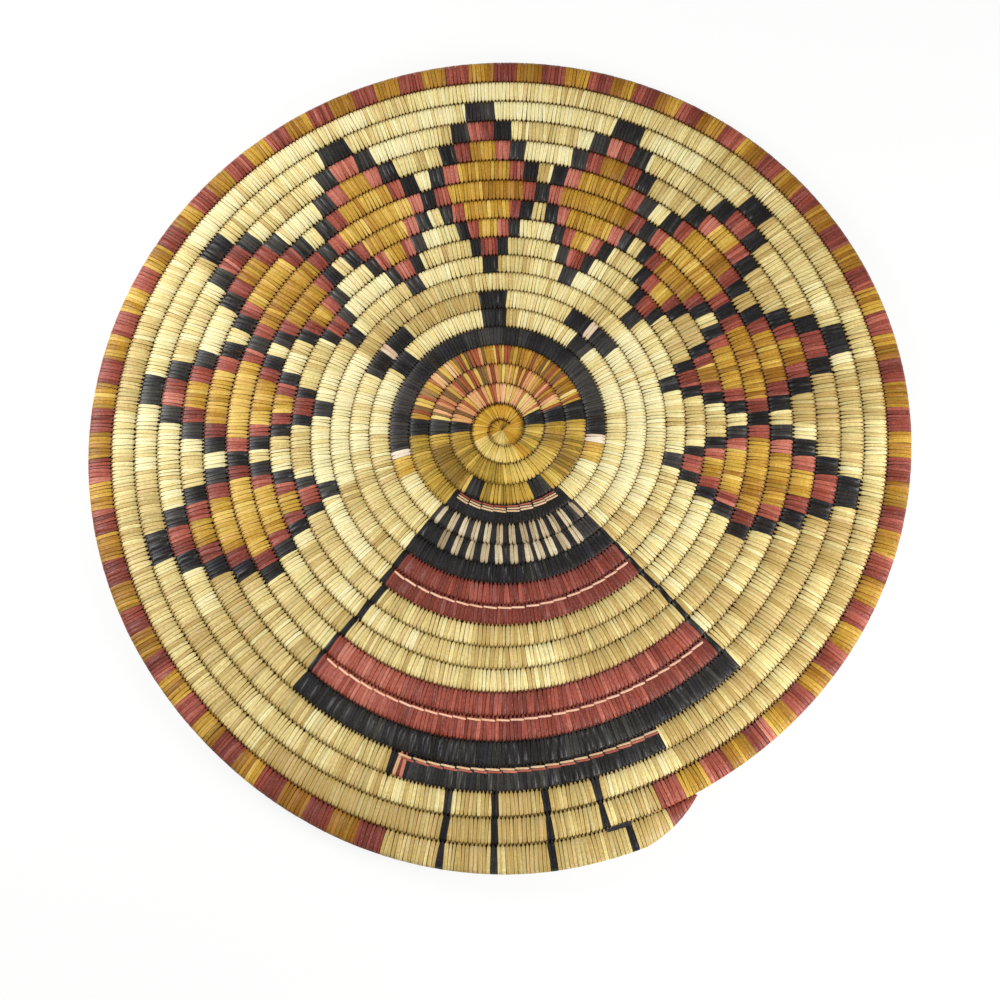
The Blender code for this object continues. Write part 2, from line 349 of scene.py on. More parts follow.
class Wire:                         # a socket that can take part in sums
    def __init__(self, graph, socket):
        self.graph, self.socket = graph, socket

    def maths(self, operation, *values):
        return self.graph.node("ShaderNodeMath", {"operation": operation}, *values)

    def __add__(self, other):
        return self.maths("ADD", self, other)

    def __sub__(self, other):
        return self.maths("SUBTRACT", self, other)

    def __mul__(self, other):
        return self.maths("MULTIPLY", self, other)

    def __rsub__(self, other):
        return self.maths("SUBTRACT", other, self)

    def __abs__(self):
        return self.maths("ABSOLUTE", self)

    __radd__ = __add__
    __rmul__ = __mul__

    def between(self, low, high):   # 0 below low, 1 above high
        return self.graph.node("ShaderNodeMapRange", {"clamp": True}, self, low, high, 0.0, 1.0)


class Graph:
    def __init__(self, name):
        self.material = bpy.data.materials.new(name)
        self.material.use_nodes = True
        self.tree = self.material.node_tree
        self.shader = self.tree.nodes["Principled BSDF"]

    def node(self, kind, settings, *values, output=0, **named):
        made = self.tree.nodes.new(kind)
        for key, value in settings.items():
            if key == "stops":
                ramp = made.color_ramp
                while len(ramp.elements) < len(value):
                    ramp.elements.new(0.5)
                for element, (place, colour) in zip(ramp.elements, value):
                    element.position, element.color = place, colour
            else:
                setattr(made, key, value)
        for place, value in [*enumerate(values), *named.items()]:
            self.feed(made.inputs[place], value)
        return Wire(self, made.outputs[output])

    def feed(self, socket, value):
        if isinstance(value, Wire):
            self.tree.links.new(value.socket, socket)
        else:
            socket.default_value = value

    def mix(self, share, first, second):
        made = self.tree.nodes.new("ShaderNodeMix")
        made.data_type = "RGBA"
        for place, value in ((0, share), (6, first), (7, second)):
            self.feed(made.inputs[place], value)
        return Wire(self, made.outputs[2])

    def attribute(self, name):
        return self.node("ShaderNodeAttribute", {"attribute_name": name}, output="Fac")

    def noise(self, vector, scale, detail=2.0, roughness=0.5):
        return self.node("ShaderNodeTexNoise", {}, output="Fac", Vector=vector, Scale=scale,
                         Detail=detail, Roughness=roughness)

    def vector(self, x, y, z):
        return self.node("ShaderNodeCombineXYZ", {}, x, y, z)

    def splintPlace(self):
        # across a splint, where 1 is its width, and along it in millimetres
        place = self.node("ShaderNodeUVMap", {"uv_map": "splint"})
        parts = self.tree.nodes.new("ShaderNodeSeparateXYZ")
        self.feed(parts.inputs[0], place)
        return Wire(self, parts.outputs[0]), Wire(self, parts.outputs[1])

    def finish(self, **values):
        self.shader.inputs["Specular IOR Level"].default_value = splintLook["specular"]
        for name, value in values.items():
            self.feed(self.shader.inputs[name.replace("_", " ")], value)
        return self.material


dyeColumns = ("stops", "valley", "fibre", "fibreShare", "veers", "paleFibreAndSheen", "rough")
splintDyes = {
    # stops from the darkest splint to the palest, then the painted shade's colour deep in a valley,
    # the fibre lines' colour and strength (also the painted shade of gap lines and entering tips),
    # what some splints veer to, pale fibre streaks with painted sheen, and how rough the surface is
    "natural": (((190, 161, 93), (222, 198, 127), (246, 229, 157), (255, 247, 192)),
        (160, 112, 26), (122, 97, 42), 0.19, ((236, 206, 152), (206, 204, 146)), (255, 253, 228), 0.56),
    "cream": (((212, 180, 150), (230, 206, 178), (243, 224, 200), (252, 238, 218)),
        (165, 117, 49), (130, 98, 68), 0.19, ((238, 206, 186), (214, 204, 170)), (255, 246, 232), 0.56),
    "salmon": (((224, 160, 122), (238, 182, 148), (246, 200, 170), (250, 214, 188)),
        (165, 86, 32), (168, 96, 66), 0.19, ((246, 190, 160), (232, 190, 140)), (255, 232, 206), 0.60),
    "ochre": (((142, 92, 10), (181, 134, 36), (213, 170, 62), (240, 204, 104)),
        (132, 79, 4), (112, 68, 8), 0.20, ((206, 150, 76), (170, 148, 54)), (246, 216, 126), 0.56),
    "olive": (((128, 98, 28), (180, 144, 46), (212, 176, 72), (232, 202, 104)),
        (122, 84, 10), (98, 70, 16), 0.20, ((200, 156, 80), (160, 148, 60)), (240, 214, 132), 0.56),
    "gold": (((170, 120, 22), (194, 144, 32), (212, 164, 48), (230, 190, 78)),
        (142, 89, 6), (126, 78, 10), 0.19, ((212, 156, 60), (180, 152, 50)), (240, 206, 116), 0.54),
    "straw": (((186, 150, 56), (210, 178, 80), (228, 200, 106), (240, 218, 134)),
        (160, 112, 17), (136, 96, 28), 0.19, ((226, 180, 104), (196, 184, 96)), (250, 234, 170), 0.56),
    "umber": (((98, 66, 30), (124, 88, 42), (150, 112, 58), (176, 138, 80)),
        (84, 51, 10), (62, 38, 14), 0.22, ((150, 96, 60), (120, 104, 50)), (196, 162, 108), 0.60),
    "rose": (((196, 132, 78), (218, 158, 100), (234, 184, 124), (244, 206, 150)),
        (152, 84, 23), (140, 76, 42), 0.22, ((232, 160, 120), (220, 180, 110)), (248, 222, 180), 0.56),
    "russet": (((130, 60, 30), (158, 80, 44), (182, 102, 58), (206, 130, 82)),
        (114, 43, 8), (86, 34, 16), 0.22, ((190, 90, 60), (160, 104, 50)), (222, 164, 120), 0.60),
    "buff": (((196, 152, 108), (214, 176, 132), (229, 195, 152), (241, 212, 174)),
        (147, 94, 34), (150, 104, 64), 0.17, ((226, 180, 146), (214, 190, 136)), (250, 232, 200), 0.58),
    "ash": (((152, 134, 104), (180, 163, 128), (205, 188, 152), (228, 214, 178)),
        (107, 79, 34), (112, 86, 58), 0.24, ((204, 176, 150), (184, 174, 136)), (250, 240, 220), 0.60),
    "red": (((112, 50, 40), (150, 71, 57), (181, 96, 77), (214, 134, 112)),
        (112, 34, 8), (92, 28, 16), 0.26, ((186, 104, 92), (160, 66, 36)), (255, 208, 184), 0.56),
    "black": (((13, 12, 11), (24, 23, 21), (40, 38, 35), (68, 65, 60)),
        (30, 22, 10), (7, 6, 5), 0.24, ((42, 38, 58), (26, 34, 44)), (140, 134, 130), 0.50),
}


splintLook = {
    "fibres": (5.0, 0.35, 2.6),     # noise: stretch across, stretch along, scale
    "blotches": (0.6, 0.8, 1.5),
    "blotchShade": 0.5,
    "stopsFrom": 0.08,
    "stopsApart": 0.28,
    "veerShare": 0.4,
    "warmFrom": 0.66,               # seeds of the splints that veer
    "coolTo": 0.3,
    # a splint folds along its length as it is drawn tight: place, drift, strength, layer of noise
    "folds": ((0.35, 0.3, 1.0, 8.0), (0.7, -0.36, 0.6, 15.0)),
    "foldWaver": 0.16,
    "foldEdge": (0.03, 0.1),
    # how much a fold's crease is darkened: painted shade
    "foldPaintedShade": 0.3,
    # pale streaks along the fibres: partly paler fibre, partly a painted sheen
    "paleFibreAndSheenShare": 0.5,
    # gap lines between stitches, painted shade: from the splint's middle, and each side's strength
    "gapEdge": (0.225, 0.30),
    "gapLeast": 0.32,
    "gapSpread": 0.75,
    "gapPaintedShade": 0.92,
    "gapLessOnPale": 0.35,
    # painted shade between the rows: where along it turns from the tips' colour to the valley's, and its
    # strength
    "flank": (7.0, 9.0),            # millimetres along, past the entering tip
    "valleyPaintedShade": 0.7,
    "flankPaintedShadeMore": 0.2,
    "bump": 0.35,
    "bumpDepth": 0.0002,
    "crown": 10.0,                  # how round the bump makes a splint's back
    "fibreGloss": 0.16,
    "specular": 0.34,
}


def splintMaterial(name, dye):
    # the large factors on the seed only keep one stitch's noise apart from the next one's
    g, look = Graph(name), splintLook
    across, along = g.splintPlace()
    tone, seed, valley = g.attribute("tone"), g.attribute("stitchSeed"), g.attribute("valley")
    fibreColour = colourOf(*dye["fibre"])
    wide, long, scale = look["fibres"]
    fibres = g.noise(g.vector(across * wide + seed * 61.0, along * long, seed * 37.0), scale, 3.0, 0.65)
    wide, long, scale = look["blotches"]
    blotches = g.noise(g.vector(across * wide + seed * 17.0, along * long, seed * 53.0), scale)
    stops = [(look["stopsFrom"] + look["stopsApart"] * index, colourOf(*colour))
             for index, colour in enumerate(dye["stops"])]
    shade = tone + (blotches - 0.5) * look["blotchShade"]
    base = g.node("ShaderNodeValToRGB", {"stops": stops}, shade)
    warm, cool = (colourOf(*colour) for colour in dye["veers"])
    base = g.mix(seed.between(look["warmFrom"], 1.0) * look["veerShare"], base, warm)
    base = g.mix((1.0 - seed.between(0.0, look["coolTo"])) * look["veerShare"], base, cool)
    base = g.mix((1.0 - fibres.between(0.34, 0.56)) * dye["fibreShare"], base, fibreColour)
    waver = g.noise(g.vector(seed * 71.0, along * 0.12, 3.0), 1.0, 1.0) - 0.5
    folds = []
    for place, drift, strength, layer in look["folds"]:
        offset = across - (seed * drift + place) - waver * look["foldWaver"]
        fold = 1.0 - abs(offset).between(*look["foldEdge"])
        stretches = g.noise(g.vector(seed * 29.0, along * 0.5, layer), 1.0, 1.0).between(0.3, 0.55)
        folds.append(fold * strength * stretches)
    crease = folds[0].maths("MAXIMUM", *folds)
    # painted shade: the crease of a fold is darkened with the fibre colour
    base = g.mix(crease * look["foldPaintedShade"], base, fibreColour)
    # pale streaks: partly paler fibre, partly a painted sheen along the fibres
    base = g.mix(fibres.between(0.6, 0.74) * look["paleFibreAndSheenShare"], base, colourOf(*dye["paleFibreAndSheen"]))
    middle = across - 0.5
    # painted shade along both sides of a splint: the gap lines between stitches
    chance = seed * 17.3 + middle.maths("SIGN", middle) * 0.21
    chance = chance.maths("FRACT", chance) * look["gapSpread"] + look["gapLeast"]
    edge = abs(middle).between(*look["gapEdge"]) * (look["gapPaintedShade"] - tone * look["gapLessOnPale"])
    base = g.mix(edge * chance, base, fibreColour)
    # painted shade: brown deep between the rows, and the dark fibre colour where a splint enters the row
    # inside, for the shade in that hole
    flank = along.between(*look["flank"])
    deep = g.mix(flank, fibreColour, colourOf(*dye["valley"]))
    base = g.mix(valley * (flank * look["flankPaintedShadeMore"] + look["valleyPaintedShade"]), base, deep)
    height = fibres * 0.5 + blotches * 0.3 - crease * 0.5 - middle * middle * look["crown"]
    bump = g.node("ShaderNodeBump", {}, Strength=look["bump"], Distance=look["bumpDepth"], Height=height)
    return g.finish(Base_Color=base, Roughness=dye["rough"] - fibres * look["fibreGloss"], Normal=bump)


def grassMaterial():
    g = Graph("grassBundlePaintedShade")
    around, along = g.splintPlace()
    stems = g.noise(g.vector(around * 14.0, along * 0.02, 0.0), 3.0, 3.0, 0.6)
    spots = g.noise(g.vector(around * 3.0, along * 0.4, 4.0), 2.0, 3.0)
    # dark browns: the grass's colour together with the painted shade of the gaps where it shows between
    # splints
    stops = [(0.25, colourOf(78, 48, 16)), (0.5, colourOf(116, 78, 32)), (0.75, colourOf(150, 108, 52))]
    base = g.node("ShaderNodeValToRGB", {"stops": stops}, stems)
    base = g.mix(spots.between(0.5, 0.75) * 0.5, base, colourOf(84, 52, 20))
    bump = g.node("ShaderNodeBump", {}, Strength=0.6, Distance=0.0004, Height=stems)
    return g.finish(Base_Color=base, Roughness=stems * 0.1 + 0.8, Normal=bump)


splintMaterials = {name: splintMaterial(name + "Splint", dict(zip(dyeColumns, dye)))
                   for name, dye in splintDyes.items()}
bundleMaterial = grassMaterial()
print("materials:", len(splintMaterials) + 1)


hoopShape = {
    "stations": 18,
    "thickness": 0.0002,
    "topShare": 0.90,               # the rounded back of a splint against its full width
    # from where a stitch enters the row inside it, over the top, to the coil's outer side:
    # shares of the half width, then metres more, shares of the half height, width and painted shade
    "path": (
        (-1.0, -0.00122, 0.00, 0.20, 1.00),
        (-1.0, -0.00114, 0.73, 0.26, 1.00),
        (-1.0, -0.00028, 0.69, 0.58, 1.00),
        (-0.94, 0.0, 0.765, 0.95, 0.36),
        (-0.54, 0.0, 0.945, 1.00, 0.16),
        (-0.02, 0.0, 1.00, 1.00, 0.05),
        (0.44, 0.0, 0.95, 1.00, 0.02),
        (0.75, 0.0, 0.81, 0.87, 0.20),
        (0.94, 0.0, 0.62, 0.52, 0.42),
        (1.0, 0.0, 0.40, 0.44, 0.80),
    ),
    # widths and painted shade of the last four, where no row follows outside; the painted shade darkens
    # the rim's outer edge
    "rimWidths": (0.97, 0.97, 0.97, 0.97),
    "rimPaintedShade": (0.0, 0.0, 0.0, 0.55),
    "nominalHalf": (0.0050, 0.0041),            # half width and height that the normals are for
    "mapEdge": 0.2,                 # where the outer face starts on the UV map, past the side
}


def select(mesh, wanted):
    for vertex in mesh.verts:
        vertex.select = wanted(vertex)
    mesh.select_flush_mode()


def takeShape(shape):
    # ends the edit of a shape that is modelled once, and takes its points and faces
    bpy.ops.mesh.select_all(action="SELECT")
    bpy.ops.mesh.normals_make_consistent(inside=False)
    bpy.ops.object.mode_set(mode="OBJECT")
    places = np.array([vertex.co for vertex in shape.data.vertices])
    faces = [list(face.vertices) for face in shape.data.polygons]
    bpy.data.objects.remove(shape)
    return places, faces


def modelHoop(widths, valleys):
    # a flat splint closed into a hoop: its axis runs along the coil, station 0 is the entry
    bpy.ops.object.select_all(action="DESELECT")
    bpy.ops.mesh.primitive_cylinder_add(vertices=hoopShape["stations"], radius=1, depth=1,
                                        end_fill_type="NOTHING", location=(0, 0, 0))
    hoop = bpy.context.active_object
    bpy.ops.object.mode_set(mode="EDIT")
    bpy.ops.mesh.select_all(action="SELECT")
    bpy.ops.mesh.solidify(thickness=0.2)
    mesh = bmesh.from_edit_mesh(hoop.data)
    radii = sorted({round(vertex.co.to_2d().length, 3) for vertex in mesh.verts})
    between = (radii[0] + radii[-1]) / 2
    select(mesh, lambda vertex: vertex.co.to_2d().length > between)
    bpy.ops.transform.resize(value=(1, 1, hoopShape["topShare"]), center_override=(0, 0, 0))
    for station in range(hoopShape["stations"]):
        width = widths[rowOfPath(station)]
        select(mesh, lambda vertex: stationOf(vertex.co.x, vertex.co.y) == station)
        bpy.ops.transform.resize(value=(1, 1, width), center_override=(0, 0, 0))
    places, faces = takeShape(hoop)
    # solidify leaves its faces in no fixed order
    faces = np.array(sorted(face[face.index(min(face)):] + face[:face.index(min(face))] for face in faces))
    stations = np.array([stationOf(x, y) for x, y, _ in places])
    deep = np.hypot(places[:, 0], places[:, 1]) < between
    return {"run": places[:, 2], "station": stations, "deep": deep, "faces": faces,
            "valley": np.array([valleys[rowOfPath(station)] for station in stations])}


def stationOf(x, y):
    # station 0 lies at the left of the hoop, and they go over the top
    share = (180 - math.degrees(math.atan2(y, x))) / (360 / hoopShape["stations"])
    return round(share) % hoopShape["stations"]


def rowOfPath(station):
    # the underside mirrors the top
    return min(station, hoopShape["stations"] - station)


def hoopPath():
    # every station's place in the section, with the outward normal there
    top = np.array(hoopShape["path"])
    low = top[-2:0:-1].copy()
    low[:, 2] *= -1
    ring = np.vstack([top, low])
    halfWidth, halfHeight = hoopShape["nominalHalf"]
    nominal = np.column_stack([ring[:, 0] * halfWidth + ring[:, 1], ring[:, 2] * halfHeight])
    ahead, behind = np.roll(nominal, -1, axis=0), np.roll(nominal, 1, axis=0)
    tangent = ahead - behind
    tangent /= np.linalg.norm(tangent, axis=1)[:, None]
    normal = np.column_stack([-tangent[:, 1], tangent[:, 0]])
    lengths = np.concatenate([[0], np.cumsum(np.linalg.norm(ahead - nominal, axis=1))[:-1]])
    return ring, normal, lengths


pathWidths, pathPaintedShade = ([row[place] for row in hoopShape["path"]] for place in (3, 4))
rowHoop = modelHoop(pathWidths, pathPaintedShade)
rimHoop = modelHoop([*pathWidths[:-4], *hoopShape["rimWidths"]],
                    [*pathPaintedShade[:-4], *hoopShape["rimPaintedShade"]])
pathRing, pathNormal, pathLength = hoopPath()
print("stitch:", len(rowHoop["faces"]), "faces")


sewing = {
    "roomSpread": 0.24,             # how unlike in width neighbouring stitches are
    "widest": 1.15,                 # the most room between two entries, in stitches
    "snap": 0.8,                    # how far an entry moves to the gap between two stitches inside it
    "farthest": 0.7,                # the most that it moves, in stitches
    "evenings": 4,                  # rounds in which no entry is left far from its neighbours
    "patch": (8, 20),               # stitches that one splint makes before the next is spliced in
    "patchRest": 4,                 # the most that it makes once the dye changes
    "patchSpread": 0.62,            # tones
    "stitchSpread": 0.16,
    "heightJitter": 0.00012,
    "leanJitter": 0.10,
    "width": 1.02,                  # a splint's share of its stitch
    "widthJitter": 0.05,
    "gapEvery": 0.12,               # share of stitches that stand a little apart
    "gap": 0.08,
    "pullFrom": 0.97,               # where across the row a stitch starts to lean to its entry
    "pullBend": 2.2,
    "centreTo": 3,                  # up to this turn, tips reach less far into slimmer rows
    "slimmestTip": 0.3,
    "seed": 41,
}
# above the face's bars: how often each dye is taken, by row, to the right and to the left
fanDyes = {
    (1, "right"): {"russet": 5, "rose": 5, "straw": 2},
    (1, "left"): {"russet": 4, "rose": 5, "straw": 2, "umber": 1},
    (2, "right"): {"russet": 5, "rose": 3, "ochre": 3, "straw": 2},
    (2, "left"): {"umber": 5, "russet": 2, "rose": 3, "straw": 1},
    (3, "right"): {"ochre": 7, "russet": 3, "straw": 2, "umber": 1},
    (3, "left"): {"ochre": 4, "umber": 4, "rose": 3, "russet": 1},
}
# where all splints run darker or paler, and below it those of one dye: first and last row,
# from and to which bearing, and by how much
tonePatches = (
    (2, 2, 198, 230, -0.45), (2, 2, 320, 340, -0.3), (3, 3, 196, 234, 0.2),
    (4, 8, 10, 45, 0.4), (4, 8, -30, 10, 0.25), (6, 7, 100, 152, -0.3), (4, 8, 152, 196, 0.3),
    (5, 6, 196, 232, 0.1), (8, 9, 40, 58, -0.3), (8, 10, 60, 76, 0.15),
    (9, 11, 234, 262, 0.1), (9, 11, 284, 314, -0.5), (7, 12, 196, 232, 0.1),
    (13, 14, 206, 232, -0.2), (15, 16, 212, 236, -0.15), (15, 17, 148, 190, 0.12),
    (16, 17, 38, 54, -0.2), (16, 17, 54, 80, 0.15), (16, 17, 80, 148, 0.2), (17, 18, 236, 262, -0.4),
    (15, 16, 232, 252, -0.15), (16, 16, 263, 283, -0.25), (17, 18, 262, 292, -0.35),
    (15, 16, 297, 314, -0.45), (12, 17, -40, -12, -0.2), (12, 17, -12, 14, -0.05),
    (9, 12, 316, 330, -0.05), (8, 15, 108, 200, 0.25), (8, 15, 54, 80, 0.12), (8, 15, 0, 40, -0.25),
    (18, 18, -32, 108, -0.3), (18, 18, 108, 196, -0.15), (18, 18, 196, 254.5, -0.25),
)
dyePatches = {
    "rimOchre": ((17, 17, 291, 304, -0.3),),
    "ochre": ((8, 15, 108, 134, -0.1), (8, 15, 134, 160, -0.3), (8, 15, 54, 80, -0.25)),
    "red": ((8, 16, 126, 215, -0.35), (7, 8, 230, 314, -0.5), (12, 13, 270, 314, -0.3)),
}
rimDyes = {"rimRed": "red", "rimOchre": "ochre"}


def patchShift(turn, dye):
    shift = 0
    for first, last, start, end, more in tonePatches + dyePatches.get(dye, ()):
        if any(turnAt(row, start) <= turn < turnAt(row, end) for row in range(first, last + 1)):
            shift += more
    return shift


def fanDye(turn, rng):
    # a place above the bars has a bearing from 20 to 174
    row = math.floor(turn + 0.5)
    side = "right" if (turn - row) * 360 + 180 < 100 else "left"
    choices = fanDyes[row, side]
    return rng.choices(list(choices), list(choices.values()))[0]


def countStitches():
    rng = random.Random(sewing["seed"])
    stitches = []
    patchLeft, patchTone = 0, 0.5
    for start, end, dye in coilRuns():
        middle = float(coilSection((start + end) / 2)[0])
        count = max(1, round((end - start) * 2 * math.pi * middle / stitchPitch(start)))
        rooms = [1 + rng.uniform(-1, 1) * sewing["roomSpread"] for _ in range(count)]
        scale, low = (end - start) / sum(rooms), start
        patchLeft = min(patchLeft, sewing["patchRest"])
        for room in rooms:
            if patchLeft <= 0:
                patchLeft = rng.randint(*sewing["patch"])
                patchTone = 0.5 + rng.uniform(-0.5, 0.5) * sewing["patchSpread"]
            patchLeft -= 1
            step = room * scale
            turn = low + step / 2
            low += step
            tone = patchTone + rng.gauss(0, sewing["stitchSpread"]) + patchShift(turn, dye)
            chosen = fanDye(turn, rng) if dye == "fan" else rimDyes.get(dye, dye)
            width = sewing["width"] - (sewing["gap"] if rng.random() < sewing["gapEvery"] else 0)
            width += rng.uniform(-1, 1) * sewing["widthJitter"]
            lift = rng.uniform(-0.5, 0.5) * sewing["heightJitter"]
            lean = rng.uniform(-0.5, 0.5) * sewing["leanJitter"]
            stitches.append((turn, step * width, chosen, tone, rng.random(), lift, lean))
    columns = ("turn", "step", "dye", "tone", "seed", "lift", "lean")
    return {key: np.array(values) for key, values in zip(columns, zip(*stitches))}


stitches = countStitches()
stitchTurns = stitches["turn"]
print("stitches:", len(stitchTurns))


def entryShifts():
    # a stitch enters the row inside it at the gap nearest to it
    gaps = (stitchTurns[1:] + stitchTurns[:-1]) / 2
    wanted = stitchTurns - 1
    after = np.clip(np.searchsorted(gaps, wanted), 1, len(gaps) - 1)
    before = gaps[after - 1]
    nearest = np.where(wanted - before < gaps[after] - wanted, before, gaps[after])
    shift = (nearest - wanted) * sewing["snap"]
    most = sewing["farthest"] * stitches["step"]
    shift = np.clip(shift, -most, most)
    shift[wanted < stitchTurns[0]] = 0
    entries = stitchTurns + shift
    for _ in range(sewing["evenings"]):
        apart = np.diff(entries)
        room = np.diff(stitchTurns) * sewing["widest"]
        excess = np.clip(apart - room, 0, None) / 2
        entries[:-1] += excess
        entries[1:] -= excess
    return entries - stitchTurns


shifts = entryShifts()


def addObject(name, data):
    # links a new object, selected alone and active
    made = bpy.data.objects.new(name, data)
    bpy.context.scene.collection.objects.link(made)
    bpy.ops.object.select_all(action="DESELECT")
    made.select_set(True)
    bpy.context.view_layer.objects.active = made
    return made


def finishPiece(piece, name, smoothBelow=62):
    piece.name = name + "_look"
    bpy.ops.object.shade_smooth_by_angle(angle=math.radians(smoothBelow))
    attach(piece, "root")
    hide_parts(name)


def layValues(mesh, shape, **values):
    # what the splint materials read: one number at each vertex, spread to shape if need be
    for key, numbers in values.items():
        layer = mesh.attributes.new(key, "FLOAT", "POINT")
        numbers = np.ascontiguousarray(np.broadcast_to(numbers, shape), np.float32)
        layer.data.foreach_set("value", numbers.ravel())


def layMap(mesh, corner):
    # the splint's own UV map, from each vertex's place on it
    vertexOf = np.zeros(len(mesh.loops), np.int32)
    mesh.loops.foreach_get("vertex_index", vertexOf)
    layer = mesh.uv_layers.active or mesh.uv_layers.new()
    layer.name = "splint"
    layer.data.foreach_set("uv", corner[vertexOf].astype(np.float32).ravel())


def sewField(name, chosen, hoop):
    # lays one hoop for each stitch of a field and joins them into one mesh
    turns, steps, tones, seeds, lifts, leans = (
        stitches[key][chosen][:, None] for key in ("turn", "step", "tone", "seed", "lift", "lean"))
    station = hoop["station"]
    sideways, more, upward = pathRing[station, :3].T
    normal = pathNormal[station]
    pull = np.clip((sewing["pullFrom"] - sideways) / (sewing["pullFrom"] + 1), 0, 1) ** sewing["pullBend"]
    turn = turns + steps * (hoop["run"] + leans * sideways) + shifts[chosen][:, None] * pull
    _, halfWidth, halfHeight, _ = coilSection(turn)
    depth = (hoopShape["thickness"] * hoop["deep"] - lifts) * slimness(halfWidth)
    extra = more * np.where(turn < sewing["centreTo"], slimness(halfWidth, sewing["slimmestTip"]), 1)
    extra = np.where(turns < firstLoopEnd, 0, extra)
    inward = np.where(turns < firstLoopEnd, middleReach(turn), halfWidth)
    outward = np.where(sideways < 0, inward, halfWidth) * sideways + extra - depth * normal[:, 0]
    places = onCoil(turn, outward, halfHeight * upward - depth * normal[:, 1]).reshape(-1, 3)
    firstVertex = np.arange(len(chosen)) * len(station)
    faces = (hoop["faces"] + firstVertex[:, None, None]).reshape(-1, 4)
    mesh = bpy.data.meshes.new(name)
    mesh.from_pydata(places.tolist(), [], faces.tolist())
    picked = stitches["dye"][chosen].tolist()
    dyes = sorted(set(picked))
    for dye in dyes:
        mesh.materials.append(splintMaterials[dye])
    number = [dyes.index(dye) for dye in picked]
    mesh.polygons.foreach_set("material_index", np.repeat(number, len(hoop["faces"])))
    layValues(mesh, turn.shape, tone=tones, stitchSeed=seeds, valley=hoop["valley"])
    across = np.where(hoop["run"] > 0, 1.0, 0.0)
    edge = hoopShape["mapEdge"]
    across = np.where(hoop["deep"], across, edge + (1 - 2 * edge) * across)
    along = pathLength[station] * 1000
    layMap(mesh, np.tile(np.column_stack([across, along]), (len(chosen), 1)))
    finishPiece(addObject(name, mesh), name)


def sewCoil():
    first, total = spiral["startTurn"], 0
    for name, fieldEnd, slotName in coilFields():
        chosen = np.where((stitchTurns >= first) & (stitchTurns < fieldEnd))[0]
        hoop = rimHoop if name in ("rim_tick_row", "rim_natural_tail", "coil_end_tip") else rowHoop
        sewField(name, chosen, hoop)
        total += len(chosen)
        first = fieldEnd
    print("coil:", total, "stitches sewn")


sewCoil()


bundle = {
    "around": 16,
    "perTurn": 120,
    "inset": 0.00048,
    "stems": 0.05,                  # how deep the furrows between stems are, in shares
    "startRun": 0.02,               # turns over which the stems run together
    "endRun": 0.0015,
    "overlap": 0.00006,             # past the middle of the gap between two rows
    "squareness": 2.35,             # 2 is an ellipse
    "mapLength": 400,
}


def modelBundle():
    startRun, endRun = bundle["startRun"], bundle["endRun"]
    start, end = spiral["startTurn"] + startRun, tipEnd - endRun
    count = math.ceil((end - start) * bundle["perTurn"])
    bpy.ops.object.select_all(action="DESELECT")
    bpy.ops.mesh.primitive_grid_add(x_subdivisions=count, y_subdivisions=bundle["around"], size=2)
    piece = bpy.context.active_object
    mesh = piece.data
    flat = np.array([vertex.co for vertex in mesh.vertices])
    # rings stand at the same bearings in every row, so that rows meet without a gap
    turn = np.minimum(start + np.round((flat[:, 0] + 1) / 2 * count) / bundle["perTurn"], end)
    angle = flat[:, 1] * math.pi
    furrow = 1 - bundle["stems"] * (np.round((flat[:, 1] + 1) / 2 * bundle["around"]) % 2)
    taper = np.clip(np.minimum((turn - start) / startRun, (end - turn) / endRun), 0, 1) ** 0.5
    _, halfWidth, halfHeight, _ = coilSection(turn)
    inset = bundle["inset"] * slimness(halfWidth)
    cosine, sine = np.cos(angle), np.sin(angle)
    # row against row the bundle fills the coil's width, and the rim's outer side stays covered
    full = halfWidth + bundle["overlap"]
    outerSide = np.where(turn > tipEnd - 1, halfWidth - inset, full)
    innerSide = np.where(turn < firstLoopEnd, middleReach(turn), full)
    sideways = np.where(cosine > 0, outerSide, np.where(cosine < 0, innerSide, full))
    fullness = 2 / bundle["squareness"]
    outward = sideways * np.sign(cosine) * np.abs(cosine) ** fullness * furrow * taper
    up = (halfHeight - inset) * np.sign(sine) * np.abs(sine) ** fullness * furrow * taper
    places = onCoil(turn, outward, up)
    mesh.vertices.foreach_set("co", places.astype(np.float32).ravel())
    layMap(mesh, np.column_stack([flat[:, 1] * 0.5 + 0.5, turn * bundle["mapLength"]]))
    mesh.update()
    bpy.ops.object.mode_set(mode="EDIT")
    bpy.ops.mesh.select_all(action="SELECT")
    bpy.ops.mesh.remove_doubles(threshold=0.00001)
    bpy.ops.mesh.select_all(action="DESELECT")
    bpy.ops.mesh.select_non_manifold()
    bpy.ops.mesh.edge_face_add()
    bpy.ops.mesh.select_all(action="SELECT")
    bpy.ops.mesh.normals_make_consistent(inside=False)
    bpy.ops.object.mode_set(mode="OBJECT")
    mesh.materials.clear()
    mesh.materials.append(bundleMaterial)
    finishPiece(piece, "foundation_bundle", smoothBelow=75)
    print("bundle:", len(mesh.polygons), "faces")


modelBundle()


